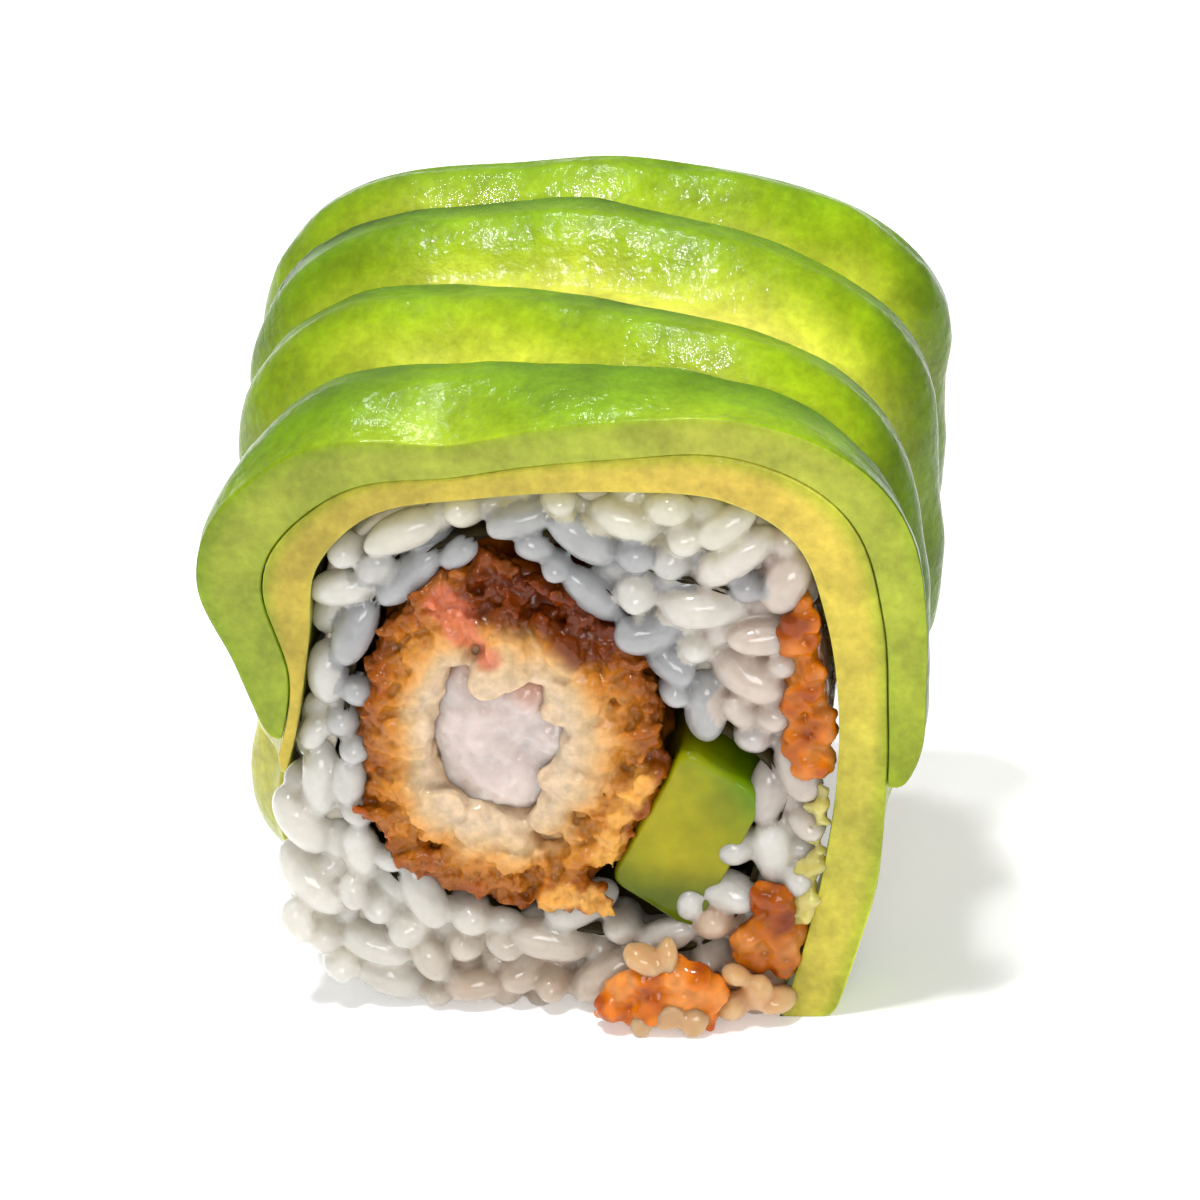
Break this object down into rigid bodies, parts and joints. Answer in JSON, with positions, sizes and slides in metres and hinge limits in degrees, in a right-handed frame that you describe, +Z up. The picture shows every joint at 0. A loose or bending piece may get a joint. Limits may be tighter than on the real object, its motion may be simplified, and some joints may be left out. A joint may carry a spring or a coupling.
{
  "type": "uramaki roll",
  "caption": "Thick inside-out sushi roll piece lying on its side: rice around nori, fried prawn and cucumber, covered in overlapping avocado slices.",
  "frame": {"origin": "centre of the bounding box on the flat face that the piece rests on", "axes": "+Z up, -Y out of the front cut face, +X to the right seen from the front"},
  "size_m": [0.0477, 0.0383, 0.0453],
  "materials": {
    "rice": "moist, translucent cooked grains",
    "nori": "thin dark green-black dried seaweed sheet, damp",
    "tempura_batter": "crisp golden-brown crust, pale and doughy towards the prawn",
    "prawn": "cooked white-pink flesh, moist",
    "cucumber": "wet cut flesh with a darker green skin edge",
    "spicy_sauce": "glossy orange sauce with crumbs",
    "avocado": "wet ripe flesh, green at the skin side and yellow towards the stone"
  },
  "bodies": {
    "root": {"rice": "rice", "nori": "nori", "tempura_batter": "tempura_batter", "prawn": "prawn", "cucumber": "cucumber", "spicy_sauce": "spicy_sauce", "avocado_slice_1": "avocado", "avocado_slice_2": "avocado", "avocado_slice_3": "avocado", "avocado_slice_4": "avocado", "avocado_slice_5": "avocado"}
  },
  "joints": []
}
